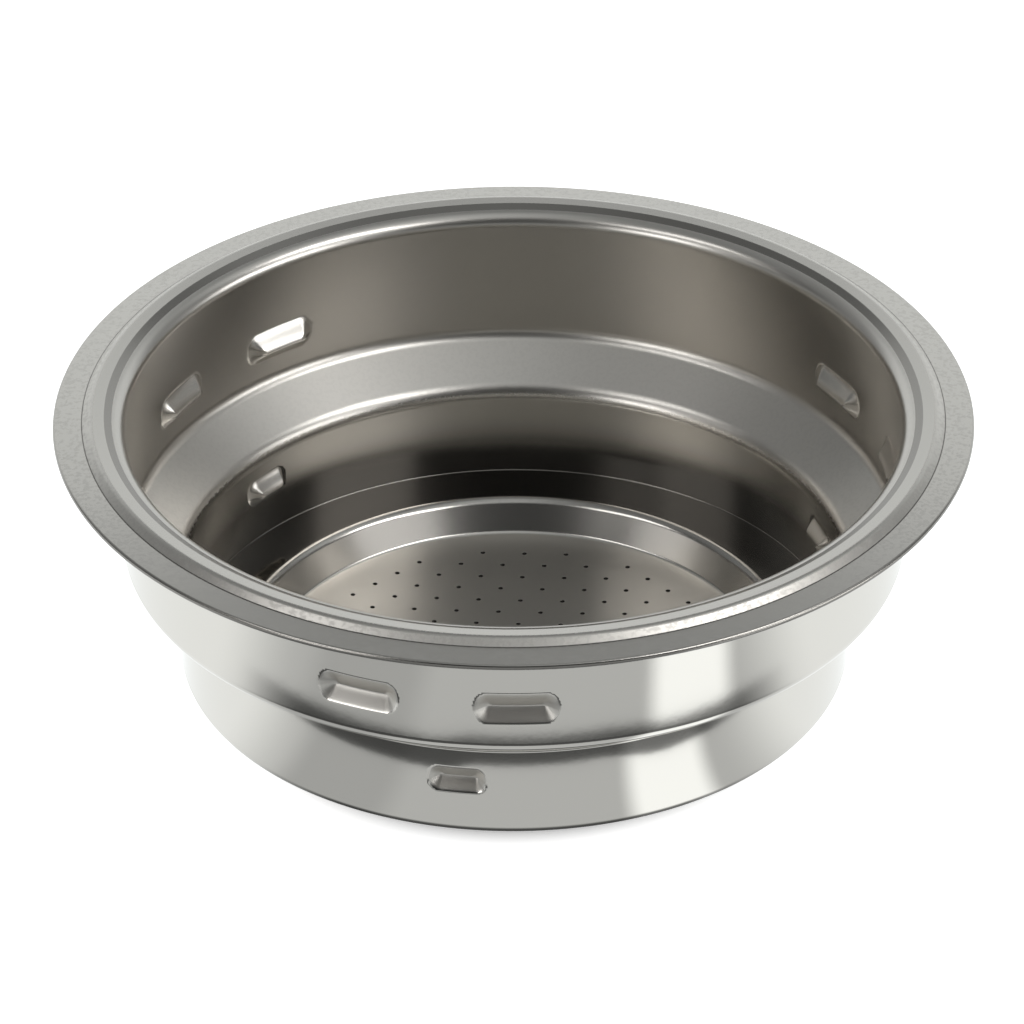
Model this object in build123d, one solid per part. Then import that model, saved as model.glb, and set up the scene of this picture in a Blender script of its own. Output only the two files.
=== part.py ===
from build123d import *
import os

# Espresso filter basket, pressed from one disc of thin stainless sheet.
# Millimetres, +Z up. The origin is on the axis, at the underside of the perforated floor, so the
# basket stands on Z = 0. Depths count down from the top of the flange. Every radius and depth is
# taken on the side of the sheet that faces the coffee.

# Sheet
sheet = 0.4

# Flange, and the raised crown that the brew head's gasket presses on
flange_radius = 30.0
crown_foot_radius = 28.1
crown_slope_run = 0.5
crown_height = 0.45

# Walls: a wide upper chamber, a sloping shoulder and a narrower lower chamber
wall_radius = 25.3
shoulder_depth = 9.1
shoulder_drop = 2.5
lower_radius = 21.7
step_depth = 17.85

# Well: the perforated floor lies below a flat ring-shaped step
well_mouth_radius = 18.0
well_floor_radius = 16.6
floor_depth = 20.1

# Bends, each a flat bevel that takes this much off the two faces it joins
rim_bevel = 0.7
shoulder_bevel = 0.45
step_bevel = 0.35

# Perforation: a square lattice of pierced holes, with one on the axis
hole_pitch = 2.0
hole_diameter = 0.35
hole_sides = 6
field_radius = 14.7
lattice_turn = 53.3

# Dents, pressed in from outside: in each group two on the upper wall and one on the lower
group_count = 3
first_group_angle = -90.0
upper_dent_half_spread = 11.5
upper_dent_length = 5.5
upper_dent_depth = 6.2
lower_dent_length = 3.9
lower_dent_depth = 13.9
dent_height = 2.4
dent_draw = 0.4
dent_flank_run = 0.85
dent_end_run = 0.5

# Worked out from the sizes above
flange_z = floor_depth + sheet
crown_z = flange_z + crown_height
floor_z = flange_z - floor_depth


def inside_points():
    """The coffee side of the sheet in section, from the flange's edge to the axis, with its bevels."""
    shoulder_z = flange_z - shoulder_depth
    step_z = flange_z - step_depth
    corners = [
        ((flange_radius, flange_z), 0),
        ((crown_foot_radius, flange_z), 0),
        ((crown_foot_radius - crown_slope_run, crown_z), 0),
        ((wall_radius, crown_z), rim_bevel),
        ((wall_radius, shoulder_z), shoulder_bevel),
        ((lower_radius, shoulder_z - shoulder_drop), shoulder_bevel),
        ((lower_radius, step_z), step_bevel),
        ((well_mouth_radius, step_z), 0),
        ((well_floor_radius, floor_z), 0),
        ((0, floor_z), 0),
    ]
    spots = [Vector(*spot) for spot, _ in corners]
    points = []
    for index, (_, bevel) in enumerate(corners):
        spot = spots[index]
        if bevel:
            points.append(spot + (spots[index - 1] - spot).normalized() * bevel)
            points.append(spot + (spots[index + 1] - spot).normalized() * bevel)
        else:
            points.append(spot)
    return points


def outside_points(points):
    """The sheet's other side: parallel to the given points, one thickness to the left of their run."""
    runs = [(end - start).normalized() for start, end in zip(points, points[1:])]
    lefts = [Vector(-run.Y, run.X) for run in runs]
    before = lefts[:1] + lefts
    after = lefts + lefts[-1:]
    return [
        point + (first + second) * (sheet / (1 + first.dot(second)))
        for point, first, second in zip(points, before, after)
    ]


def pressed_shell():
    """The drawn sheet, before it is dented and pierced."""
    inside = inside_points()
    section = make_face(Polyline(*inside, *reversed(outside_points(inside)), close=True))
    return revolve(Plane.XZ * section, Axis.Z).solid()


def dent_wedge(surface_radius, angle, depth, length):
    """A dent at one face of a wall: an outline on the wall that narrows to a flat bottom."""
    outward = Vector(1, 0, 0).rotate(Axis.Z, angle)
    along = Vector(0, 1, 0).rotate(Axis.Z, angle)
    middle = outward * surface_radius + Vector(0, 0, flange_z - depth)
    at_wall = Plane(origin=middle, x_dir=along, z_dir=outward)
    # the wedge starts a little outside that face, with its sides carried on
    lead = sheet / 4
    spread = lead / dent_draw
    outline = Rectangle(
        length + 2 * dent_end_run * spread, dent_height + 2 * dent_flank_run * spread
    )
    bottom = Rectangle(length - 2 * dent_end_run, dent_height - 2 * dent_flank_run)
    wedge = loft([at_wall.offset(lead) * outline, at_wall.offset(-dent_draw) * bottom])
    return wedge.solid()


def dent_places():
    """Every dent as its wall's inside radius, its angle, its depth and its length."""
    places = []
    for group in range(group_count):
        middle = first_group_angle + group * 360 / group_count
        for side in (-1, 1):
            angle = middle + side * upper_dent_half_spread
            places.append((wall_radius, angle, upper_dent_depth, upper_dent_length))
        places.append((lower_radius, middle, lower_dent_depth, lower_dent_length))
    return places


def press_dents(shell):
    """Add each dent's ridge inside the wall, then take its hollow out of the outside."""
    places = dent_places()
    ridges = [dent_wedge(radius, *rest) for radius, *rest in places]
    hollows = [dent_wedge(radius + sheet, *rest) for radius, *rest in places]
    return shell.fuse(*ridges).cut(*hollows)


def pierce_floor(shell):
    """Pierce the floor at the lattice points inside the perforated field, with few-sided pins."""
    reach = int(field_radius // hole_pitch)
    steps = [index * hole_pitch for index in range(-reach, reach + 1)]
    points = [(x, y) for x in steps for y in steps if x**2 + y**2 <= field_radius**2]
    pin = extrude(RegularPolygon(hole_diameter / 2, hole_sides), sheet, both=True)
    field = Pos(0, 0, floor_z) * Rotation(0, 0, lattice_turn)
    return shell.cut(*[field * Pos(x, y) * pin for x, y in points])


basket = pierce_floor(press_dents(pressed_shell()))
os.makedirs("parts", exist_ok=True)
export_step(basket, "parts/filter_basket.step")
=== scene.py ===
"""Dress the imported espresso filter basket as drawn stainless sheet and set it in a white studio.

The basket is one pressed sheet. Its section is a chain of straight runs and round bends, turned about
Z. Both faces of the sheet come from the same chain, one sheet thickness apart along its normals. The
dents pressed into the two walls and the pierced floor are worked into that surface.
"""

from __future__ import annotations

import logging
import math
from dataclasses import dataclass, field, fields, replace
from enum import IntEnum

import bpy
import numpy as np
from mathutils import Matrix, Vector
from mathutils.geometry import delaunay_2d_cdt

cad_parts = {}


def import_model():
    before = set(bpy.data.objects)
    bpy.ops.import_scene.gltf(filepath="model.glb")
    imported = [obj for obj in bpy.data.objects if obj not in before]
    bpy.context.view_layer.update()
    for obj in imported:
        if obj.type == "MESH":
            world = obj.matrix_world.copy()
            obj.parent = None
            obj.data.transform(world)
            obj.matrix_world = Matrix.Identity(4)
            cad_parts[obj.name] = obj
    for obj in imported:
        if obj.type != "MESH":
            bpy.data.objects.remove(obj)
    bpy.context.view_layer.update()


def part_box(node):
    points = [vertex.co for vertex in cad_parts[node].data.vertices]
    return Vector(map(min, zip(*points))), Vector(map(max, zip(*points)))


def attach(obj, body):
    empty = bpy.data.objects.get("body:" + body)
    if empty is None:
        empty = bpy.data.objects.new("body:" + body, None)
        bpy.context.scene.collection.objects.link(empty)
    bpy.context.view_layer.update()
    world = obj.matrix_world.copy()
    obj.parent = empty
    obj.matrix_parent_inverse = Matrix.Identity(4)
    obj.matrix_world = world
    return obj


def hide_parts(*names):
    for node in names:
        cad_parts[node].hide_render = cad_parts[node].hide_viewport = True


LOG = logging.getLogger("filter_basket")
MM = 0.001
DEGREE = math.pi / 180.0
# Angle of the front, in degrees from the X axis.
FRONT = -90.0
# Length that keeps a division by nothing away.
TINY = 1e-9
NODE = "filter_basket"
PIECE = "pressed_basket"
UP = (0.0, 0.0, 1.0)
WHITE = (1.0, 1.0, 1.0, 1.0)
COOL_WHITE = (0.965, 1.0, 1.01, 1.0)

Array = np.ndarray
Socket = bpy.types.NodeSocket
Pair = tuple[float, float]
Direction = tuple[float, float, float]
Color = tuple[float, float, float, float]


class Columns(IntEnum):
    """How finely a row of the surface is divided round the axis."""

    PLAIN = 0
    UPPER_DENTS = 1
    LOWER_DENTS = 2


@dataclass(frozen=True)
class SheetFinish:
    """What the press and the polishing wheel left on each stretch of the sheet, and the shade painted on it.

    A haze is the roughness of a stretch. A rub says how scuffed it is, and a painted shade how far the
    colour is darkened towards near black to stand in for shade, both from 0 to 1.
    """

    outside_wall_haze: float = 0.09
    outside_flange_haze: float = 0.22
    floor_haze: float = 0.36
    well_haze: float = 0.22
    step_haze: float = 0.07
    lower_wall_haze: float = 0.21
    shoulder_haze: float = 0.34
    upper_wall_haze: float = 0.29
    rim_haze: float = 0.28
    crown_haze: float = 0.24
    crown_slope_haze: float = 0.34
    flange_haze: float = 0.21
    cut_edge_haze: float = 0.20
    dent_inside_haze: float = 0.26
    dent_outside_haze: float = 0.42
    bore_haze: float = 0.60
    well_mouth_rub: float = 0.3
    shoulder_rub: float = 0.2
    rim_rub: float = 0.1
    crown_slope_rub: float = 0.5
    flange_rub: float = 0.3
    edge_foot_rub: float = 0.6
    # Painted shade: the values below darken the colour where shade falls, on the step, the lower wall's
    # foot, the lip, the crown's foot, the cut edge and the holes' walls.
    step_painted_shade: float = 0.50
    lower_wall_painted_shade: float = 0.56
    lip_painted_shade: float = 0.52
    crown_foot_painted_shade: float = 0.85
    cut_edge_painted_shade: float = 0.75
    bore_painted_shade: float = 1.0


@dataclass(frozen=True)
class SteelFinish:
    """Drawn stainless steel: colour, grain, rub marks and painted shade. Depths in metres, scales per metre.
    """

    name: str = "drawn_stainless_steel"
    color: Color = (0.63, 0.606, 0.566, 1.0)
    rubbed_color: Color = (0.53, 0.51, 0.478, 1.0)
    # Near-black colour of painted shade, laid where shade falls in corners, creases and holes.
    painted_shade_color: Color = (0.05, 0.045, 0.04, 1.0)
    metallic: float = 1.0
    coarse_detail: float = 3.0
    fine_detail: float = 2.0
    grain_scale: float = 1600.0
    grain_share: float = 0.4
    streak_scale: float = 900.0
    streak_stretch: float = 0.04
    streak_share: float = 0.6
    grain_bump: float = 0.13
    grain_depth: float = 0.00002
    cloud_scale: float = 90.0
    cloud_middle: float = 0.5
    cloud_haze: float = 0.03
    rub_scale: float = 3600.0
    rub_limits: Pair = (0.48, 0.60)
    rub_haze: float = 0.16
    rub_relief: float = 0.6


@dataclass(frozen=True)
class TablePatch:
    """A patch of the table that is lighter or darker in the steel, round one angle, in degrees."""

    glow: float
    angle: float
    half_width: float
    core_share: float = 0.5


@dataclass(frozen=True)
class TableFinish:
    """White table top: how it looks to the camera, and how it is lit where the steel mirrors it.

    Angles are in degrees from the side that the picture is taken from, positive to the right, and radii
    in mm from the basket's axis. A patch's angle shifts by the lean with each mm past the patch radius.
    """

    name: str = "white_table"
    albedo: Color = (0.80, 0.80, 0.80, 1.0)
    camera_glow: float = 0.98
    hidden_radii: Pair = (16.5, 20.5)
    front_glow: float = 0.68
    side_glow: float = 1.20
    side_angles: Pair = (46.0, 71.0)
    gleam: TablePatch = TablePatch(glow=0.85, angle=38.0, half_width=12.0)
    shade: TablePatch = TablePatch(glow=-0.12, angle=-33.0, half_width=16.0)
    patch_lean: float = 0.28
    patch_radius: float = 45.0
    contact_glow: float = 0.14
    contact_angles: Pair = (32.0, 58.0)
    contact_radii: Pair = (22.5, 25.0)
    shadow_start_radii: Pair = (33.4, 33.7)
    shadow_end_radii: Pair = (43.4, 44.9)
    shadow_angles: Pair = (44.0, 64.0)
    shadow_depth: float = 0.86
    left_spread: float = 1.0
    left_spread_angles: Pair = (8.0, 17.0)
    right_spread: float = 1.2
    right_spread_angles: Pair = (18.0, 36.0)
    outer_share: float = 0.8


@dataclass(frozen=True)
class RoomGlow:
    """Light from the room round the table, as the steel mirrors it.

    Pairs are limits on parts of a unit vector that points into the room: how far it goes up, to the right
    of the picture or away behind the basket. A lean adds that share of a level part to the upward one.
    """

    name: str = "white_studio"
    backdrop_glow: float = 0.84
    backdrop_behind: Pair = (0.50, 0.72)
    backdrop_heights: Pair = (0.56, 0.66)
    sky_glow: float = 0.38
    sky_right_glow: float = 0.56
    sky_sides: Pair = (-0.2, 0.5)
    sky_heights: Pair = (0.88, 0.96)
    sky_right_lean: float = 0.4
    sky_right_limits: Pair = (0.84, 1.00)
    sky_behind_lean: float = 0.8
    sky_behind_limits: Pair = (0.65, 0.82)
    behind_glow: float = 0.24
    behind_limits: Pair = (-0.1, 0.4)
    front_glow: float = 0.03
    front_low_glow: float = 0.30
    front_low_heights: Pair = (0.16, 0.30)
    front_top_glow: float = 0.50
    front_top_heights: Pair = (0.72, 0.88)
    left_top_share: float = 0.45
    left_top_sides: Pair = (-0.28, 0.0)


@dataclass
class Rows:
    """Rows of the surface, each one circle about Z, as arrays of equal length.

    Args:
        radius: distance from the axis, in mm.
        height: height above the table, in mm.
        normal_r: outward part of the normal.
        normal_z: upward part of the normal.
        haze: roughness of the finish.
        rub: how strongly the row is scuffed, 0 to 1.
        painted_shade: how far the row's colour is darkened as painted shade, 0 to 1.
        columns: the member of Columns that divides the row.
    """

    radius: Array
    height: Array
    normal_r: Array
    normal_z: Array
    haze: Array
    rub: Array
    painted_shade: Array
    columns: Array

    def under_side(self, sheet: float) -> Rows:
        """Carry every row one thickness back along its normal and turn the normals round.

        Args:
            sheet: thickness of the sheet, in mm.

        Returns:
            The rows of the other face, in the reverse order.
        """
        return Rows(
            (self.radius - sheet * self.normal_r)[::-1],
            (self.height - sheet * self.normal_z)[::-1],
            -self.normal_r[::-1],
            -self.normal_z[::-1],
            self.haze[::-1],
            self.rub[::-1],
            self.painted_shade[::-1],
            self.columns[::-1],
        )

    def clean(self, haze: float) -> Rows:
        """Return the same rows with an even haze, no wear and no painted shade."""
        none = np.zeros_like(self.rub)
        return replace(self, haze=none + haze, rub=none, painted_shade=none)

    def spread(self, counts: Array) -> Rows:
        """Return each row's values as many times as it has columns."""
        return Rows(*(np.repeat(getattr(self, item.name), counts) for item in fields(Rows)))

    @staticmethod
    def joined(parts: list[Rows]) -> Rows:
        """Return several groups of rows as one."""
        return Rows(*(np.concatenate([getattr(part, item.name) for part in parts]) for item in fields(Rows)))


@dataclass
class Skin:
    """Corners of a surface, as arrays of equal length, and the faces between them.

    Args:
        spots: places, in mm.
        normals: directions that the surface faces there.
        haze: roughness of the finish.
        rub: how strongly the spot is scuffed, 0 to 1.
        painted_shade: how far the spot's colour is darkened as painted shade, 0 to 1.
        faces: the corners of each face, in order.
    """

    spots: Array
    normals: Array
    haze: Array
    rub: Array
    painted_shade: Array
    faces: list[list[int]]


@dataclass(frozen=True)
class Bend:
    """A corner of the section: where its two runs meet, the round that joins them, in mm, its wear and
    painted shade.

    Rub and painted shade go from 0 to 1 and are strongest halfway round. The outer face follows the inner
    one, unless the corner has a round of its own there, and leaves out a corner that only the inner face
    shows.
    """

    radius: float
    height: float
    round: float
    rub: float = 0.0
    painted_shade: float = 0.0
    steps: int = 9
    outside_round: float | None = None
    both_faces: bool = True

    @property
    def back_round(self) -> float:
        """Return the round that the outer face is carried back from."""
        return self.round if self.outside_round is None else self.outside_round


@dataclass(frozen=True)
class Run:
    """A straight run of the section, with its finish on each face and the dents pressed into it.

    Painted shade that clears is strongest at the run's foot and gone at its top.
    """

    haze: float
    outside_haze: float
    columns: Columns = Columns.PLAIN
    rub: float = 0.0
    painted_shade: float = 0.0
    clears: bool = False

    @property
    def top_painted_shade(self) -> float:
        """Return the painted shade at the run's top."""
        return 0.0 if self.clears else self.painted_shade


def smooth_step(value: Array) -> tuple[Array, Array]:
    """Return 3t² - 2t³ and its slope 6t - 6t², where t is the value held between 0 and 1."""
    inside = np.clip(value, 0.0, 1.0)
    return inside * inside * (3 - 2 * inside), 6 * inside * (1 - inside)


@dataclass
class DentRow:
    """Equal dents pressed inwards round one wall, in mm and degrees."""

    wall_radius: float
    height: float
    length: float
    angles: list[float]
    width: float = 2.45
    draw: float = 0.75
    end_stretch: float = 1.1
    corner_share: float = 0.94
    ridge_drop: float = 0.15
    softness: float = 0.45
    scuffed_edge: float = 0.25
    margin: float = 0.15
    rows: int = 23

    def row_heights(self) -> Array:
        """Return the heights of the rows that carry the dents, from the lowest up."""
        reach = self.width / 2 + self.margin
        return self.height + np.linspace(-reach, reach, self.rows)

    def offsets(self, angle: Array) -> Array:
        """Return the arc length from each angle to the nearest dent's middle, in mm."""
        turn = angle[:, None] - np.radians(self.angles)[None, :]
        turn = np.arctan2(np.sin(turn), np.cos(turn))
        nearest = np.argmin(np.abs(turn), axis=1)
        return self.wall_radius * turn[np.arange(len(angle)), nearest]

    def press(self, angle: Array, height: Array) -> tuple[Array, Array, Array, Array]:
        """Work out how far the wall is pressed in.

        The dent is a hipped roof whose ridge lies a little below its middle. Its outline is a rectangle
        with round corners, and its ends are steeper than its sides. The distance from it, measured
        inwards, is divided by the flank's width, and the depth is the draw times that share, softened by
        part of its smooth step. The slope runs along the outline's inward normal.

        Args:
            angle: angles of the spots about Z, in radians.
            height: heights of the same spots, in mm.

        Returns:
            At each spot the depth, its slopes round the wall and up the wall, and how scuffed the spot
            is, from 0 to 1.
        """
        along, across = self.offsets(angle), height - self.height
        above = np.where(across > -self.ridge_drop, 1.0, -1.0)
        flank = self.width / 2 + above * self.ridge_drop
        corner = self.corner_share * self.width / 2
        past_end = (np.abs(along) - self.length / 2) * self.end_stretch + corner
        past_side = above * across - self.width / 2 + corner
        reach = np.hypot(np.maximum(past_end, 0), np.maximum(past_side, 0))
        inward = corner - reach - np.minimum(np.maximum(past_end, past_side), 0)
        share = np.clip(inward / flank, 0.0, 1.0)
        step, slope = smooth_step(share)
        depth = self.draw * (share + self.softness * (step - share))
        steep = self.draw / flank * (1 + self.softness * (slope - 1)) * ((share > 0) & (share < 1))
        safe = np.maximum(reach, TINY)
        to_end = np.where(reach > 0, np.maximum(past_end, 0) / safe, past_end > past_side)
        to_side = np.where(reach > 0, np.maximum(past_side, 0) / safe, past_end <= past_side)
        slope_along = -np.sign(along) * steep * self.end_stretch * to_end
        slope_across = -above * steep * to_side
        scuff = smooth_step(inward / self.scuffed_edge)[0]
        return depth, slope_along, slope_across, scuff


@dataclass
class PiercedFloor:
    """The floor of the basket: a shallow dish with round holes on a square grid, in mm and degrees."""

    rim_radius: float
    height: float
    sheet: float
    sag: float
    pitch: float = 2.0
    hole_radius: float = 0.18
    hole_sides: int = 14
    burr: float = 0.03
    field_radius: float = 14.7
    grid_turn: float = 53.3
    guide_radius: float = 15.5
    guide_points: int = 90
    merge_gap: float = 1e-6

    def dish(self, place: Array) -> tuple[Array, Array]:
        """Return the dish's height, lowest in the middle and rising as the radius squared, and normal."""
        rise = self.sag / self.rim_radius**2
        height = self.height + rise * np.sum(place**2, axis=1)
        normal = np.column_stack([-2 * rise * place, np.ones(len(place))])
        return height, normal / np.linalg.norm(normal, axis=1, keepdims=True)

    def grid(self, shift: float) -> Array:
        """Return the turned grid's points inside the field, shifted by part of a pitch both ways."""
        reach = math.ceil(self.field_radius / self.pitch) + 1
        steps = np.arange(-reach, reach + 1) + shift
        points = self.pitch * np.stack(np.meshgrid(steps, steps), axis=-1).reshape(-1, 2)
        points = points[np.hypot(points[:, 0], points[:, 1]) < self.field_radius]
        turn = math.radians(self.grid_turn)
        return points @ np.array([[math.cos(turn), math.sin(turn)], [-math.sin(turn), math.cos(turn)]])

    @staticmethod
    def circle(radius: float, points: int) -> Array:
        """Return evenly spaced points of a circle round the middle."""
        turn = np.linspace(0, 2 * math.pi, points, endpoint=False)
        return radius * np.column_stack([np.cos(turn), np.sin(turn)])

    def nearest_hole(self, edge: Array) -> Array:
        """Return the middle of the hole that each point of its edge belongs to."""
        middle = edge.reshape(-1, self.hole_sides, 2).mean(axis=1)
        return np.repeat(middle, self.hole_sides, axis=0)

    def bore(self, edge: Array, height: Array) -> tuple[Array, Array]:
        """Return the holes' rings just below the top and just above the under side, drawn in by the burr."""
        center = self.nearest_hole(edge)
        drawn = center + (edge - center) * (1 - self.burr / self.hole_radius)
        return (np.column_stack([drawn, height - self.burr]),
                np.column_stack([drawn, height - self.sheet + self.burr]))

    def bore_normals(self, edge: Array) -> Array:
        """Return the normals of the holes' walls, which point to each hole's middle."""
        inward = (self.nearest_hole(edge) - edge) / self.hole_radius
        return np.column_stack([inward, np.zeros(len(edge))])

    def layout(self, rim: Array) -> tuple[Array, Array, Array]:
        """Cover the floor with triangles that leave the holes open.

        The triangles join the floor's edge, the holes' edges, the points midway between the holes and a
        guiding circle outside them. No side crosses a hole's edge.

        Args:
            rim: places of the floor's edge, which stay first in the list.

        Returns:
            The places, the hole that each one edges, or -1, and the triangles, turned to face up.
        """
        centers = self.grid(0.0)
        edge = self.circle(self.hole_radius, self.hole_sides)
        holes = (centers[:, None, :] + edge[None, :, :]).reshape(-1, 2)
        guide = self.circle(self.guide_radius, self.guide_points)
        places = np.concatenate([rim, holes, self.grid(0.5), guide])
        hole = np.full(len(places), -1)
        hole[len(rim):len(rim) + len(holes)] = np.repeat(np.arange(len(centers)), self.hole_sides)
        loops = [np.arange(len(rim))]
        loops += list(len(rim) + np.arange(len(holes)).reshape(-1, self.hole_sides))
        edges = np.concatenate([np.column_stack([loop, np.roll(loop, -1)]) for loop in loops])
        _, _, found, origins, _, _ = delaunay_2d_cdt(places.tolist(), edges.tolist(), [], 0, self.merge_gap)
        triangles = np.array(origins)[:, 0][np.array(found)]
        owner = hole[triangles]
        in_hole = (owner[:, 0] >= 0) & (owner == owner[:, :1]).all(axis=1)
        triangles = triangles[~in_hole]
        first, second, third = (places[triangles[:, corner]] for corner in range(3))
        side, other = second - first, third - first
        faces_down = side[:, 0] * other[:, 1] < side[:, 1] * other[:, 0]
        triangles[faces_down] = triangles[faces_down][:, ::-1]
        return places, hole, triangles


@dataclass
class FilterBasket:
    """The whole basket as one closed sheet. Sizes in mm, angles in degrees, heights from the table."""

    flange_radius: float
    crown_top: float
    sheet: float = 0.4
    crown_height: float = 0.45
    flange_fall: float = 0.14
    crown_foot_radius: float = 28.1
    crown_slope_run: float = 0.55
    crown_fall: float = 4.0
    wall_radius: float = 25.3
    rim_slope: float = 12.0
    lip_radius: float = 26.65
    lip_run: float = 0.5
    lip_drop: float = 0.22
    shoulder_depth: float = 9.1
    shoulder_drop: float = 2.5
    lower_radius: float = 21.7
    step_depth: float = 17.85
    well_mouth_radius: float = 18.0
    well_floor_radius: float = 16.6
    floor_rim_radius: float = 16.1
    floor_sag: float = 0.3
    floor_edge_rise: float = 0.02
    edge_round: float = 0.19
    crown_foot_round: float = 0.18
    crown_round: float = 0.5
    lip_round: float = 0.14
    rim_round: float = 0.95
    shoulder_top_round: float = 1.1
    shoulder_foot_round: float = 1.5
    shoulder_back_round: float = 0.6
    step_round: float = 0.06
    step_back_round: float = 0.3
    well_mouth_round: float = 0.8
    well_foot_round: float = 0.4
    group_angles: tuple[float, ...] = (-90.0, 30.0, 151.7)
    upper_half_spread: float = 11.5
    upper_dent_depth: float = 6.2
    upper_dent_length: float = 5.55
    lower_dent_depth: float = 14.15
    lower_dent_length: float = 3.9
    lower_dent_width: float = 2.0
    lower_dent_angles: tuple[float, ...] = (-88.4, 30.0, 151.7)
    row_gap: float = 0.02
    rim_steps: int = 14
    edge_steps: int = 6
    lip_steps: int = 6
    lip_foot_steps: int = 4
    plain_columns: int = 180
    split: int = 8
    look: SheetFinish = field(default_factory=SheetFinish)
    steel: SteelFinish = field(default_factory=SteelFinish)

    @property
    def flange_top(self) -> float:
        """Return the height of the flange's top, where the crown meets it."""
        return self.crown_top - self.crown_height

    def dents(self) -> dict[Columns, DentRow]:
        """Return the dents of the two walls."""
        spread = self.upper_half_spread
        upper = [angle + side * spread for angle in self.group_angles for side in (-1, 1)]
        return {
            Columns.UPPER_DENTS: DentRow(self.wall_radius, self.flange_top - self.upper_dent_depth,
                                         self.upper_dent_length, upper),
            Columns.LOWER_DENTS: DentRow(self.lower_radius, self.flange_top - self.lower_dent_depth,
                                         self.lower_dent_length, list(self.lower_dent_angles),
                                         self.lower_dent_width),
        }

    def bends(self) -> list[Bend]:
        """Lay out the corners of the sheet's inner face and cut edge.

        The crown falls inwards from its ridge to the lip, and the rim slopes on down to the wall. The
        ridge's corner lies so high that the top of its round reaches the crown's top.

        Returns:
            The corners, from the floor's edge out to the cut edge and back under the flange.
        """
        look = self.look
        shoulder = self.flange_top - self.shoulder_depth
        step = self.flange_top - self.step_depth
        edge_top = self.flange_top - self.flange_fall
        floor_edge = self.sheet + self.floor_sag
        fall = math.radians(self.crown_fall)
        half_turn = (fall + math.atan2(self.crown_height, self.crown_slope_run)) / 2
        ridge_radius = self.crown_foot_radius - self.crown_slope_run
        ridge_rise = math.tan(half_turn) * math.sin(fall) - 1 + math.cos(fall)
        ridge = self.crown_top + self.crown_round * ridge_rise
        lip = ridge - (ridge_radius - self.lip_radius) * math.tan(fall)
        lip_foot = lip - self.lip_drop
        lip_foot_radius = self.lip_radius - self.lip_run
        rim = lip_foot - (lip_foot_radius - self.wall_radius) * math.tan(math.radians(self.rim_slope))
        return [
            Bend(self.floor_rim_radius, floor_edge, 0.0),
            Bend(self.well_floor_radius, floor_edge + self.floor_edge_rise, self.well_foot_round),
            Bend(self.well_mouth_radius, step, self.well_mouth_round, look.well_mouth_rub),
            Bend(self.lower_radius, step, self.step_round, outside_round=self.step_back_round),
            Bend(self.lower_radius, shoulder - self.shoulder_drop, self.shoulder_foot_round,
                 outside_round=self.shoulder_back_round),
            Bend(self.wall_radius, shoulder, self.shoulder_top_round,
                 outside_round=self.shoulder_back_round),
            Bend(self.wall_radius, rim, self.rim_round, steps=self.rim_steps),
            Bend(lip_foot_radius, lip_foot, self.lip_round, steps=self.lip_foot_steps, both_faces=False),
            Bend(self.lip_radius, lip, self.lip_round, steps=self.lip_steps, both_faces=False),
            Bend(ridge_radius, ridge, self.crown_round),
            # Painted shade: a dark line in the crease where the crown meets the flange.
            Bend(self.crown_foot_radius, self.flange_top, self.crown_foot_round,
                 painted_shade=look.crown_foot_painted_shade),
            Bend(self.flange_radius, edge_top, self.edge_round, steps=self.edge_steps),
            Bend(self.flange_radius, edge_top - self.sheet, self.edge_round, look.edge_foot_rub,
                 steps=self.edge_steps),
            Bend(self.crown_foot_radius, self.flange_top - self.sheet, 0.0),
        ]

    def runs(self) -> list[Run]:
        """Return the straight runs between the corners, in the same order."""
        look = self.look
        wall, flange = look.outside_wall_haze, look.outside_flange_haze
        return [
            Run(look.floor_haze, wall),
            Run(look.well_haze, wall),
            # Painted shade: the step at the well's mouth is darkened as if in shade.
            Run(look.step_haze, wall, painted_shade=look.step_painted_shade),
            # Painted shade: the inner lower wall darkens towards its foot, where shade falls in the recess.
            Run(look.lower_wall_haze, wall, Columns.LOWER_DENTS, painted_shade=look.lower_wall_painted_shade, clears=True),
            Run(look.shoulder_haze, wall, rub=look.shoulder_rub),
            Run(look.upper_wall_haze, wall, Columns.UPPER_DENTS),
            Run(look.rim_haze, flange, rub=look.rim_rub),
            # Painted shade: the lip's face is darkened as if in shade.
            Run(look.crown_haze, flange, painted_shade=look.lip_painted_shade),
            Run(look.crown_haze, flange),
            Run(look.crown_slope_haze, flange, rub=look.crown_slope_rub),
            Run(look.flange_haze, flange, rub=look.flange_rub),
            # Painted shade: the flange's cut edge is darkened as if in shade.
            Run(look.cut_edge_haze, look.cut_edge_haze, painted_shade=look.cut_edge_painted_shade),
            Run(flange, flange),
        ]

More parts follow.
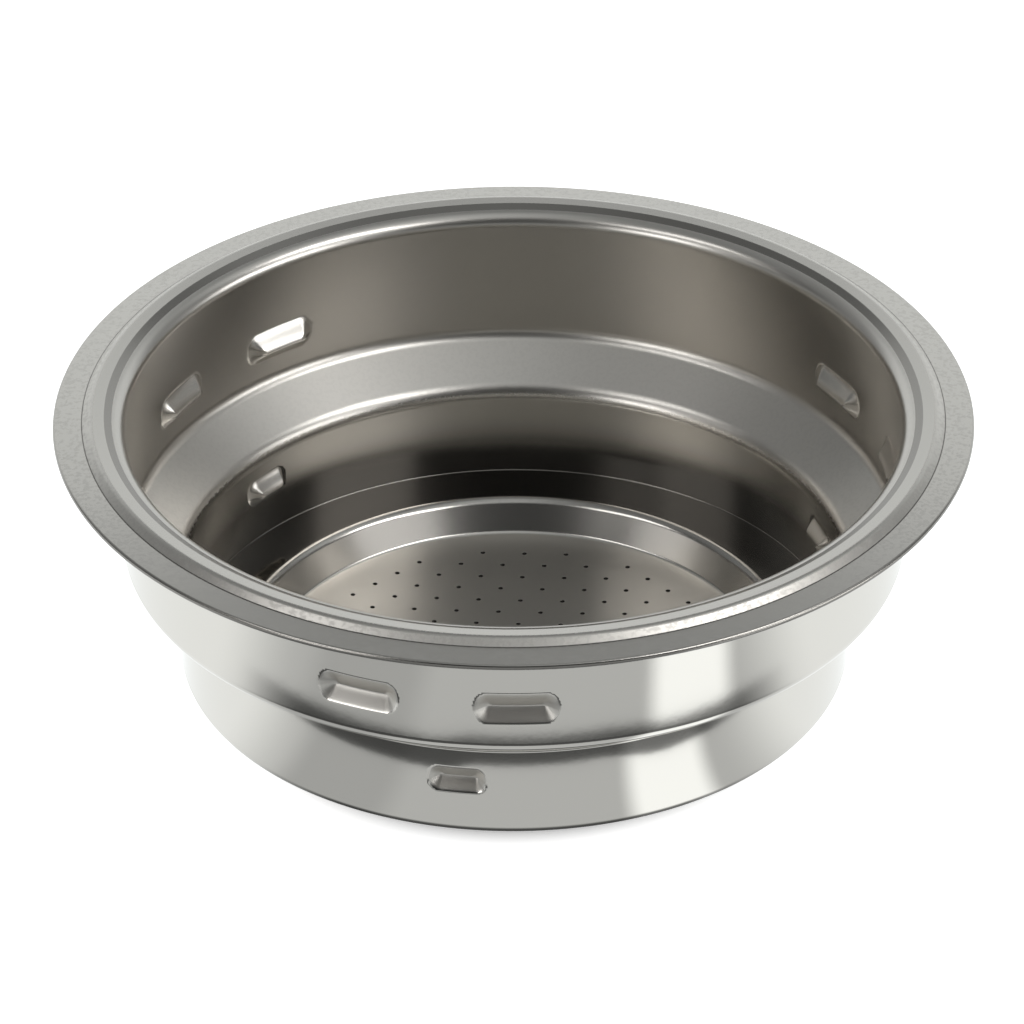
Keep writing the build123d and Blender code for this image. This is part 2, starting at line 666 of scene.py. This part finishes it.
    def section(self) -> Rows:
        """Lay out the rows of the whole section, from the floor's edge inside to its edge outside.

        Each corner becomes an arc that touches both of its runs, and the finish goes evenly from one run's
        to the next's along it. The walls also get the rows that carry their dents. The outer face is the
        inner one carried back by the sheet's thickness.

        Returns:
            The rows of the inner face, the cut edge and the outer face, in order.
        """
        bends, runs, dents = self.bends(), self.runs(), self.dents()
        corner = np.array([[bend.radius, bend.height] for bend in bends])
        course = np.diff(corner, axis=0)
        course /= np.linalg.norm(course, axis=1, keepdims=True)
        facing = np.column_stack([-course[:, 1], course[:, 0]])
        inside = [self.rows_of(corner[:1], facing[:1], runs[0].haze)]
        outside = [self.rows_of(corner[:1], facing[:1], runs[0].outside_haze)]
        for index, (run, following) in enumerate(zip(runs, runs[1:])):
            bend, place = bends[index + 1], corner[index + 1]
            share = np.linspace(0, 1, bend.steps + 1)
            normals, way = self.arc(course[index], course[index + 1], share)
            spots = place + bend.round * way
            if run.columns in dents:
                heights = dents[run.columns].row_heights()
                heights = heights[heights < spots[0, 1] - self.row_gap]
                inside.append(self.wall_rows(run, corner[index, 0], heights, facing[index]))
                outside.append(inside[-1].clean(run.outside_haze))
            swell = np.sin(math.pi * share)
            haze = run.haze + (following.haze - run.haze) * share
            rub = run.rub + (following.rub - run.rub) * share + bend.rub * swell
            # Painted shade goes evenly between the runs and swells halfway round the bend.
            painted_shade = run.top_painted_shade + (following.painted_shade - run.top_painted_shade) * share + bend.painted_shade * swell
            inside.append(self.rows_of(spots, normals, haze, rub, painted_shade))
            if bend.both_faces and bend.radius < self.flange_radius:
                back_haze = run.outside_haze + (following.outside_haze - run.outside_haze) * share
                outside.append(self.rows_of(place + bend.back_round * way, normals, back_haze))
        return Rows.joined([*inside, Rows.joined(outside).under_side(self.sheet)])

    @staticmethod
    def arc(before: Array, after: Array, share: Array) -> tuple[Array, Array]:
        """Work out the arc that joins two runs, for a round of 1.

        It starts back along the first run by the tangent of half the turn, and its normal turns evenly
        from one run's to the next's.

        Args:
            before: direction of the first run.
            after: direction of the second run.
            share: shares of the turn, from 0 to 1.

        Returns:
            The normals at these shares, and the ways there from the corner.
        """
        turn = math.atan2(before[0] * after[1] - before[1] * after[0], float(before @ after))
        normal = np.array([-before[1], before[0]])
        angle = math.atan2(normal[1], normal[0]) + turn * share
        normals = np.column_stack([np.cos(angle), np.sin(angle)])
        back = before * math.tan(abs(turn) / 2)
        return normals, math.copysign(1.0, turn) * (normal - normals) - back

    def wall_rows(self, run: Run, radius: float, heights: Array, normal: Array) -> Rows:
        """Lay out the rows of a wall that carry its dents.

        The square root of the painted shade goes evenly from its value at the run's foot to that at its top.

        Args:
            run: the wall's run of the section.
            radius: the wall's radius, in mm.
            heights: heights of the rows, in mm.
            normal: outward and upward part of the wall's normal.

        Returns:
            The rows of the inner face.
        """
        spots = np.column_stack([np.full(len(heights), radius), heights])
        # Painted shade, darker towards the wall's foot.
        fade = np.linspace(run.painted_shade**0.5, run.top_painted_shade**0.5, len(heights))**2
        return self.rows_of(spots, np.tile(normal, (len(heights), 1)), run.haze, run.rub, fade, run.columns)

    @staticmethod
    def rows_of(spots: Array, normals: Array, haze: Array | float, rub: Array | float = 0.0,
                painted_shade: Array | float = 0.0, columns: Columns = Columns.PLAIN) -> Rows:
        """Return rows through these spots of the section, with one kind of columns."""
        count = len(spots)
        wear = (np.broadcast_to(np.asarray(level, float), (count,)) for level in (haze, rub, painted_shade))
        return Rows(spots[:, 0], spots[:, 1], normals[:, 0], normals[:, 1], *wear,
                    np.full(count, int(columns)))

    def column_angles(self) -> dict[Columns, tuple[Array, Array]]:
        """Work out the columns of each kind.

        The plain columns are evenly spaced. On a dented wall, each gap between plain columns that a dent
        reaches is split evenly.

        Returns:
            For each kind, its angles in radians, and the place in it of each plain column and of the end.
        """
        gap = 2 * math.pi / self.plain_columns
        plain = gap * np.arange(self.plain_columns)
        found = {Columns.PLAIN: (plain, np.arange(self.plain_columns + 1))}
        for kind, dents in self.dents().items():
            reach = dents.length / 2 + dents.margin + dents.wall_radius * gap / 2
            near = np.abs(dents.offsets(plain + gap / 2)) < reach
            count = np.where(near, self.split, 1)
            place = np.concatenate([[0], np.cumsum(count)])
            share = (np.arange(place[-1]) - np.repeat(place[:-1], count)) / np.repeat(count, count)
            found[kind] = (np.repeat(plain, count) + gap * share, place)
        return found

    def turned_sheet(self) -> Skin:
        """Turn the section about Z and press the dents.

        Every row is a circle of its own columns. Equal rows are joined by quads, and a plain row meets a
        divided one in faces with the extra corners on one side. A dent moves its rows towards the
        axis by its depth, on both faces alike, and tilts their normals by its slopes.

        Returns:
            The sheet without its floor. Its first and last rows are the floor's edge, above and below.
        """
        section, columns = self.section(), self.column_angles()
        kinds = [Columns(int(kind)) for kind in section.columns]
        counts = np.array([len(columns[kind][0]) for kind in kinds])
        angle = np.concatenate([columns[kind][0] for kind in kinds])
        rows = section.spread(counts)
        out = np.column_stack([np.cos(angle), np.sin(angle), np.zeros_like(angle)])
        around = np.column_stack([-np.sin(angle), np.cos(angle), np.zeros_like(angle)])
        up = np.array(UP)
        normals = rows.normal_r[:, None] * out + rows.normal_z[:, None] * up
        for kind, dents in self.dents().items():
            here = rows.columns == kind
            depth, along, climb, scuff = dents.press(angle[here], rows.height[here])
            facing = rows.normal_r[here]
            haze = np.where(facing < 0, self.look.dent_inside_haze, self.look.dent_outside_haze)
            lean = climb + rows.normal_z[here] / facing
            tilted = out[here] + along[:, None] * around[here] + lean[:, None] * up
            tilted *= np.copysign(1.0, facing)[:, None]
            normals[here] = tilted / np.linalg.norm(tilted, axis=1, keepdims=True)
            rows.radius[here] -= depth
            rows.haze[here] += (haze - rows.haze[here]) * scuff
        spots = rows.radius[:, None] * out + rows.height[:, None] * up
        starts = np.concatenate([[0], np.cumsum(counts)])
        faces: list[list[int]] = []
        for index, (low, high) in enumerate(zip(kinds, kinds[1:])):
            faces += self.strip(starts[index], columns[low], starts[index + 1], columns[high])
        return Skin(spots, normals, rows.haze, rows.rub, rows.painted_shade, faces)

    @staticmethod
    def strip(low_start: int, low: tuple[Array, Array], high_start: int,
              high: tuple[Array, Array]) -> list[list[int]]:
        """Join two neighbouring rows with faces.

        Args:
            low_start: first corner of the first row.
            low: angles of the first row, and the place in it of each plain column.
            high_start: first corner of the second row.
            high: the same for the second row.

        Returns:
            The faces, as lists of corners.
        """
        low_count, high_count = len(low[0]), len(high[0])
        if low_count == high_count:
            here = np.arange(low_count)
            ahead = np.roll(here, -1)
            return np.column_stack([low_start + here, high_start + here,
                                    high_start + ahead, low_start + ahead]).tolist()
        faces = []
        for gap in range(len(low[1]) - 1):
            below = low_start + np.arange(low[1][gap], low[1][gap + 1] + 1) % low_count
            above = high_start + np.arange(high[1][gap], high[1][gap + 1] + 1) % high_count
            faces.append(np.concatenate([above, below[::-1]]).tolist())
        return faces

    def with_floor(self, skin: Skin) -> Skin:
        """Close the sheet with its pierced floor.

        The floor's under side is its top carried down along the normals by the sheet's thickness. Each
        hole's wall runs through two more rings between them.

        Args:
            skin: the sheet without its floor.

        Returns:
            The closed sheet.
        """
        look, rim, start = self.look, self.plain_columns, len(skin.spots)
        floor = PiercedFloor(self.floor_rim_radius, self.sheet, self.sheet, self.floor_sag)
        places, hole, triangles = floor.layout(skin.spots[:rim, :2])
        height, upward = floor.dish(places)
        new = len(places) - rim
        top = np.column_stack([places, height])[rim:]
        under = top - self.sheet * upward[rim:]
        top_place = np.concatenate([np.arange(rim), start + np.arange(new)])
        under_place = np.concatenate([start - rim + np.arange(rim), start + new + np.arange(new)])
        edges = np.flatnonzero(hole >= 0)
        ring = np.arange(len(edges))
        bore_start = start + 2 * new
        levels = [top_place[edges], bore_start + ring, bore_start + len(edges) + ring, under_place[edges]]
        faces = skin.faces + top_place[triangles].tolist() + under_place[triangles[:, ::-1]].tolist()
        for upper, lower in zip(levels, levels[1:]):
            here, below = (level.reshape(-1, floor.hole_sides) for level in (upper, lower))
            walls = np.stack([here, np.roll(here, -1, axis=1), np.roll(below, -1, axis=1), below], axis=-1)
            faces += walls.reshape(-1, 4).tolist()
        inward = floor.bore_normals(places[edges])
        counts = [new, new, 2 * len(edges)]
        haze = np.repeat([look.floor_haze, look.outside_wall_haze, look.bore_haze], counts)
        return Skin(
            np.concatenate([skin.spots, top, under, *floor.bore(places[edges], height[edges])]),
            np.concatenate([skin.normals, upward[rim:], -upward[rim:], inward, inward]),
            np.concatenate([skin.haze, haze]),
            np.concatenate([skin.rub, np.zeros(sum(counts))]),
            # Painted shade: the holes' walls are nearly black as if in shade.
            np.concatenate([skin.painted_shade, np.repeat([0.0, 0.0, look.bore_painted_shade], counts)]),
            faces,
        )

    def build(self) -> bpy.types.Object:
        """Make the basket's mesh, with its normals and the attributes that its finish reads.

        Returns:
            The basket's object, at the origin.
        """
        skin = self.with_floor(self.turned_sheet())
        mesh = bpy.data.meshes.new(PIECE)
        mesh.from_pydata((skin.spots * MM).tolist(), [], skin.faces)
        mesh.polygons.foreach_set("use_smooth", np.ones(len(mesh.polygons), bool))
        # The painted_shade attribute says where the colour is darkened as painted shade.
        for name in ("haze", "rub", "painted_shade"):
            values = getattr(skin, name).astype(np.float32)
            mesh.attributes.new(name, "FLOAT", "POINT").data.foreach_set("value", values)
        mesh.normals_split_custom_set_from_vertices(skin.normals.tolist())
        mesh.update()
        mesh.materials.append(SteelShader(self.steel).material())
        piece = bpy.data.objects.new(PIECE, mesh)
        bpy.context.scene.collection.objects.link(piece)
        return piece


class NodeBoard:
    """A node tree that is being laid out."""

    def __init__(self, tree: bpy.types.NodeTree) -> None:
        """Keep the tree and clear it."""
        self.tree = tree
        tree.nodes.clear()

    def add(self, kind: str, inputs: dict[str | int, object] | None = None,
            **settings: object) -> bpy.types.Node:
        """Add a node.

        Args:
            kind: the node's type name.
            inputs: for each input, a value, or the output that it is linked to.
            settings: properties of the node.

        Returns:
            The node.
        """
        node = self.tree.nodes.new(kind)
        for name, value in settings.items():
            setattr(node, name, value)
        for name, value in (inputs or {}).items():
            if isinstance(value, Socket):
                self.tree.links.new(value, node.inputs[name])
            else:
                node.inputs[name].default_value = value
        return node

    def math(self, operation: str, first: object, second: object = 0.0, clamp: bool = False) -> Socket:
        """Return the result of a sum on two values or outputs."""
        node = self.add("ShaderNodeMath", {0: first, 1: second}, operation=operation, use_clamp=clamp)
        return node.outputs[0]

    def dot(self, vector: Socket, along: Direction) -> Socket:
        """Return how far a vector reaches along a direction."""
        node = self.add("ShaderNodeVectorMath", {0: vector, 1: along}, operation="DOT_PRODUCT")
        return node.outputs["Value"]

    def ramp(self, value: Socket, limits: Pair, to_low: float = 0.0, to_high: float = 1.0,
             unit: float = 1.0) -> Socket:
        """Take a value smoothly from one range to another and hold it at the ends.

        Args:
            value: the value's output.
            limits: ends of the first range.
            to_low: result at the first end and below it.
            to_high: result at the second end and above it.
            unit: size of the unit that the limits are given in.

        Returns:
            The result's output.
        """
        low, high = (limit * unit for limit in limits)
        node = self.add("ShaderNodeMapRange", {"Value": value, "From Min": low, "From Max": high,
                                               "To Min": to_low, "To Max": to_high},
                        interpolation_type="SMOOTHSTEP")
        return node.outputs[0]

    def noise(self, place: Socket, scale: float, detail: float) -> Socket:
        """Return a soft noise that wanders between 0 and 1."""
        node = self.add("ShaderNodeTexNoise", {"Vector": place, "Scale": scale, "Detail": detail})
        return node.outputs["Fac"]

    def attribute(self, name: str) -> Socket:
        """Return one of the mesh's own values."""
        return self.add("ShaderNodeAttribute", attribute_name=name).outputs["Fac"]

    def blend(self, share: Socket, first: object, second: object) -> Socket:
        """Return a value between two others, by the share of the second."""
        # A Mix node has its plain values at inputs 2 and 3, and their mix at output 0.
        return self.add("ShaderNodeMix", {0: share, 2: first, 3: second}).outputs[0]

    def blend_colors(self, share: Socket, first: object, second: object) -> Socket:
        """Return a colour between two others, by the share of the second."""
        # A Mix node has its colours at inputs 6 and 7, and their mix at output 2.
        return self.add("ShaderNodeMix", {0: share, 6: first, 7: second}, data_type="RGBA").outputs[2]

    def choose(self, share: Socket, first: bpy.types.Node, second: bpy.types.Node) -> Socket:
        """Return the second shader where the share is 1 and the first where it is 0."""
        return self.add("ShaderNodeMixShader",
                        {0: share, 1: first.outputs[0], 2: second.outputs[0]}).outputs[0]


class SteelShader:
    """Builds the steel's material from its finish."""

    def __init__(self, finish: SteelFinish) -> None:
        """Keep the finish."""
        self.finish = finish

    def material(self) -> bpy.types.Material:
        """Lay out the material.

        The roughness is the sheet's own haze, plus slow clouds, plus fine rub marks where the sheet is
        scuffed. The rub marks are also darker, and painted shade in corners, creases and holes is nearly
        black.
        A fine grain, drawn out up the walls, and the rub marks tilt the normals a little.

        Returns:
            The material.
        """
        finish = self.finish
        material = bpy.data.materials.new(finish.name)
        material.use_nodes = True
        board = NodeBoard(material.node_tree)
        place = board.add("ShaderNodeTexCoord").outputs["Object"]
        haze, rub, painted_shade = (board.attribute(name) for name in ("haze", "rub", "painted_shade"))
        drawn = board.add("ShaderNodeMapping", {"Vector": place, "Scale": (1.0, 1.0, finish.streak_stretch)})
        streaks = board.noise(drawn.outputs[0], finish.streak_scale, finish.coarse_detail)
        grain = board.noise(place, finish.grain_scale, finish.fine_detail)
        clouds = board.noise(place, finish.cloud_scale, finish.coarse_detail)
        marks = board.noise(place, finish.rub_scale, finish.fine_detail)
        scuff = board.math("MULTIPLY", board.ramp(marks, finish.rub_limits), rub)
        cloud = board.math("SUBTRACT", clouds, finish.cloud_middle)
        roughness = board.math("ADD", haze, board.math("MULTIPLY", cloud, finish.cloud_haze))
        roughness = board.math("ADD", roughness, board.math("MULTIPLY", scuff, finish.rub_haze), clamp=True)
        color = board.blend_colors(scuff, finish.color, finish.rubbed_color)
        # Painted shade: the colour goes towards near black where the sheet carries painted shade.
        color = board.blend_colors(painted_shade, color, finish.painted_shade_color)
        relief = board.math("ADD", board.math("MULTIPLY", streaks, finish.streak_share),
                            board.math("MULTIPLY", grain, finish.grain_share))
        rubbed = board.math("MULTIPLY", marks, rub)
        relief = board.math("ADD", relief, board.math("MULTIPLY", rubbed, finish.rub_relief))
        bump = board.add("ShaderNodeBump", {"Height": relief, "Strength": finish.grain_bump,
                                            "Distance": finish.grain_depth})
        shader = board.add("ShaderNodeBsdfPrincipled", {
            "Base Color": color, "Metallic": finish.metallic, "Roughness": roughness,
            "Normal": bump.outputs[0]})
        board.add("ShaderNodeOutputMaterial", {"Surface": shader.outputs[0]})
        return material


@dataclass(frozen=True)
class SoftLight:
    """A rectangular soft light, in metres, degrees and watts.

    Its angle is from the side that the picture is taken from, positive to the right.
    """

    name: str
    angle: float
    elevation: float
    width: float
    height: float
    power: float
    distance: float = 0.7

    def build(self, target: Vector, camera_azimuth: float) -> bpy.types.Object:
        """Add the light, turned towards the target.

        Args:
            target: the point that the light faces.
            camera_azimuth: angle of the side that the picture is taken from, in degrees.

        Returns:
            The light.
        """
        turn = math.radians(camera_azimuth + self.angle + FRONT)
        tilt = math.radians(self.elevation)
        level = math.cos(tilt)
        away = Vector((level * math.cos(turn), level * math.sin(turn), math.sin(tilt)))
        lamp = bpy.data.lights.new(self.name, "AREA")
        lamp.shape = "RECTANGLE"
        lamp.size = self.width
        lamp.size_y = self.height
        lamp.energy = self.power
        light = bpy.data.objects.new(self.name, lamp)
        light.location = target + self.distance * away
        light.rotation_euler = (-away).to_track_quat("-Z", "Y").to_euler()
        bpy.context.scene.collection.objects.link(light)
        return light


@dataclass
class Studio:
    """White table, surrounding light and soft lights. Lengths in metres, the azimuth in degrees."""

    camera_azimuth: float
    table_size: float = 4.0
    table_drop: float = 0.0001
    table: TableFinish = field(default_factory=TableFinish)
    room: RoomGlow = field(default_factory=RoomGlow)
    lights: tuple[SoftLight, ...] = (
        SoftLight("high_right_softbox", 62.0, 51.0, 0.45, 0.18, 1.15),
        SoftLight("high_left_softbox", -60.0, 50.0, 0.36, 0.15, 0.45),
        SoftLight("side_right_softbox", 56.0, 31.0, 0.42, 0.12, 0.15),
        SoftLight("side_left_softbox", -70.0, 29.0, 0.32, 0.12, 0.09),
        SoftLight("low_right_softbox", 72.0, 17.0, 0.50, 0.20, 1.05),
        SoftLight("low_left_softbox", -44.0, 19.0, 0.28, 0.20, 0.55),
    )

    def build(self, target: Vector) -> bpy.types.Object:
        """Add the table, the surrounding light and the lamps.

        Args:
            target: the point that the lamps face.

        Returns:
            The table.
        """
        self.surround()
        for light in self.lights:
            light.build(target, self.camera_azimuth)
        half = self.table_size / 2
        corners = half * np.array([[-1, -1, 0], [1, -1, 0], [1, 1, 0], [-1, 1, 0]], float)
        corners[:, 2] = -self.table_drop
        mesh = bpy.data.meshes.new("table")
        mesh.from_pydata(corners.tolist(), [], [[0, 1, 2, 3]])
        mesh.materials.append(self.table_material())
        table = bpy.data.objects.new("table", mesh)
        bpy.context.scene.collection.objects.link(table)
        return table

    def directions(self) -> tuple[Direction, Direction]:
        """Return the level directions to the right of the picture and away from it."""
        turn = math.radians(self.camera_azimuth)
        return (math.cos(turn), math.sin(turn), 0.0), (-math.sin(turn), math.cos(turn), 0.0)

    def table_material(self) -> bpy.types.Material:
        """Lay out the table's material.

        The camera sees a matt white that also glows, except under the basket. The steel sees a glow alone,
        which is the table's light times what the basket's shade leaves of it.

        Returns:
            The material.
        """
        finish = self.table
        material = bpy.data.materials.new(finish.name)
        material.use_nodes = True
        board = NodeBoard(material.node_tree)
        place = board.add("ShaderNodeTexCoord").outputs["Object"]
        right, away = self.directions()
        ahead = board.math("MULTIPLY", board.dot(place, away), -1.0)
        angle = board.math("ARCTAN2", board.dot(place, right), ahead)
        radius = board.add("ShaderNodeVectorMath", {0: place}, operation="LENGTH").outputs["Value"]
        strength = board.math("MULTIPLY", self.table_light(board, angle, radius),
                              self.table_shade(board, angle, radius))
        mirrored = board.add("ShaderNodeEmission", {"Color": COOL_WHITE, "Strength": strength})
        uncovered = board.ramp(radius, finish.hidden_radii, 0.0, finish.camera_glow, MM)
        glow = board.add("ShaderNodeEmission", {"Strength": uncovered})
        matt = board.add("ShaderNodeBsdfDiffuse", {"Color": finish.albedo})
        seen = board.add("ShaderNodeAddShader", {0: glow.outputs[0], 1: matt.outputs[0]})
        in_steel = board.add("ShaderNodeLightPath").outputs["Is Glossy Ray"]
        board.add("ShaderNodeOutputMaterial", {"Surface": board.choose(in_steel, seen, mirrored)})
        return material

    def table_light(self, board: NodeBoard, angle: Socket, radius: Socket) -> Socket:
        """Lay out the table's light as the steel sees it, before the basket shades it.

        It is even in front and brighter at the sides. The gleam and the shade add their glow round their
        angles.

        Args:
            board: the material's board.
            angle: angle from the picture's side, in radians.
            radius: distance from the basket's axis, in metres.

        Returns:
            The light's strength.
        """
        finish = self.table
        level = board.ramp(board.math("ABSOLUTE", angle), finish.side_angles,
                           finish.front_glow, finish.side_glow, DEGREE)
        past = board.math("SUBTRACT", radius, finish.patch_radius * MM)
        lean = board.math("MULTIPLY", past, finish.patch_lean * DEGREE / MM)
        straight = board.math("SUBTRACT", angle, lean)
        for patch in (finish.gleam, finish.shade):
            offset = board.math("ABSOLUTE", board.math("SUBTRACT", straight, patch.angle * DEGREE))
            limits = (patch.half_width * patch.core_share, patch.half_width)
            level = board.math("ADD", level, board.ramp(offset, limits, patch.glow, 0.0, DEGREE))
        return level

    def table_shade(self, board: NodeBoard, angle: Socket, radius: Socket) -> Socket:
        """Lay out the share of the table's light that the basket leaves in front of itself.

        It is dark close under the basket and in the flange's shadow, a ring that lies nearer the basket at
        the sides, where the spread is added to the radius.

        Args:
            board: the material's board.
            angle: angle from the picture's side, in radians.
            radius: distance from the basket's axis, in metres.

        Returns:
            The share.
        """
        finish = self.table
        either_side = board.math("ABSOLUTE", angle)
        near = board.ramp(radius, finish.contact_radii, finish.contact_glow - 1.0, 0.0, MM)
        near_front = board.ramp(either_side, finish.contact_angles, 1.0, 0.0, DEGREE)
        contact = board.math("ADD", board.math("MULTIPLY", near, near_front), 1.0)
        left = board.ramp(board.math("MULTIPLY", angle, -1.0), finish.left_spread_angles,
                          0.0, finish.left_spread * MM, DEGREE)
        right = board.ramp(angle, finish.right_spread_angles, 0.0, finish.right_spread * MM, DEGREE)
        spread = board.math("ADD", left, right)
        begins = board.ramp(board.math("ADD", radius, spread), finish.shadow_start_radii, unit=MM)
        outer = board.math("ADD", radius, board.math("MULTIPLY", spread, finish.outer_share))
        ring = board.math("MULTIPLY", begins, board.ramp(outer, finish.shadow_end_radii, 1.0, 0.0, MM))
        depth = board.ramp(either_side, finish.shadow_angles, -finish.shadow_depth, 0.0, DEGREE)
        lit = board.math("ADD", board.math("MULTIPLY", ring, depth), 1.0)
        return board.math("MULTIPLY", contact, lit)

    def surround(self) -> None:
        """Lay out the light that surrounds the basket.

        The camera sees white. The steel sees the brightest of three: a backdrop low behind the basket, a
        soft sky that is brighter to the right, and a dim room that is lighter low down and high up in front.
        """
        room = self.room
        world = bpy.data.worlds.new(room.name)
        bpy.context.scene.world = world
        world.use_nodes = True
        board = NodeBoard(world.node_tree)
        direction = board.add("ShaderNodeTexCoord").outputs["Generated"]
        sideways, behind, height = (board.dot(direction, axis) for axis in (*self.directions(), UP))
        top_glow = room.front_top_glow - room.front_glow
        top = board.math("MULTIPLY", board.ramp(height, room.front_top_heights, 0.0, top_glow),
                         board.ramp(sideways, room.left_top_sides, room.left_top_share, 1.0))
        low = board.ramp(height, room.front_low_heights, room.front_low_glow, room.front_glow)
        level = board.blend(board.ramp(behind, room.behind_limits), board.math("ADD", low, top),
                            room.behind_glow)
        backdrop = board.math("MULTIPLY", board.ramp(behind, room.backdrop_behind),
                              board.ramp(height, room.backdrop_heights, room.backdrop_glow, 0.0))
        from_right = board.math("ADD", height, board.math("MULTIPLY", sideways, room.sky_right_lean))
        from_behind = board.math("ADD", height, board.math("MULTIPLY", behind, room.sky_behind_lean))
        sky = board.math("MULTIPLY", board.ramp(from_right, room.sky_right_limits),
                         board.ramp(from_behind, room.sky_behind_limits))
        sky = board.math("MULTIPLY", sky,
                         board.ramp(sideways, room.sky_sides, room.sky_glow, room.sky_right_glow))
        sky = board.math("MULTIPLY", sky, board.ramp(height, room.sky_heights, 1.0, 0.0))
        glow = board.math("MAXIMUM", board.math("MAXIMUM", level, backdrop), sky)
        mirrored = board.add("ShaderNodeBackground", {"Color": COOL_WHITE, "Strength": glow})
        white = board.add("ShaderNodeBackground", {"Color": WHITE, "Strength": 1.0})
        by_camera = board.add("ShaderNodeLightPath").outputs["Is Camera Ray"]
        board.add("ShaderNodeOutputWorld", {"Surface": board.choose(by_camera, mirrored, white)})


@dataclass
class StudioCamera:
    """The camera, placed by its angle to the basket. Lengths in mm, angles in degrees."""

    azimuth: float = 11.2
    elevation: float = 32.09
    distance: float = 510.0
    aim_height: float = 20.5
    aim_left: float = 0.117
    aim_down: float = 6.505
    roll: float = -0.21
    lens: float = 275.3
    sensor: float = 36.0
    nearest: float = 10.0

    def build(self) -> bpy.types.Object:
        """Add the camera and make it the scene's own.

        Returns:
            The camera.
        """
        turn, tilt = math.radians(self.azimuth), math.radians(self.elevation)
        right = Vector((math.cos(turn), math.sin(turn), 0.0))
        away = Vector((-math.sin(turn), math.cos(turn), 0.0))
        forward = math.cos(tilt) * away - Vector((0.0, 0.0, math.sin(tilt)))
        upward = math.sin(tilt) * away + Vector((0.0, 0.0, math.cos(tilt)))
        place = Vector((0.0, 0.0, self.aim_height)) - self.distance * forward
        place -= self.aim_left * right + self.aim_down * upward
        lens = bpy.data.cameras.new("studio_camera")
        lens.sensor_width = self.sensor
        lens.lens = self.lens
        lens.clip_start = self.nearest * MM
        camera = bpy.data.objects.new("studio_camera", lens)
        axes = Matrix((right, upward, -forward)).transposed()
        axes = axes @ Matrix.Rotation(math.radians(self.roll), 3, "Z")
        camera.matrix_world = Matrix.Translation(place * MM) @ axes.to_4x4()
        bpy.context.scene.collection.objects.link(camera)
        bpy.context.scene.camera = camera
        return camera


def main() -> None:
    """Build the basket, the studio and the camera."""
    logging.basicConfig(level=logging.INFO, format="%(message)s")
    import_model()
    low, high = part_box(NODE)
    basket = FilterBasket(flange_radius=(high.x - low.x) / 2 / MM, crown_top=high.z / MM)
    piece = basket.build()
    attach(piece, "root")
    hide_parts(NODE)
    LOG.info("%s: %d vertices, %d faces", PIECE, len(piece.data.vertices), len(piece.data.polygons))
    camera = StudioCamera()
    table = Studio(camera.azimuth).build(Vector((0.0, 0.0, high.z / 2)))
    camera.build()
    bpy.context.scene.view_settings.view_transform = "Standard"


if __name__ == "__main__":
    main()
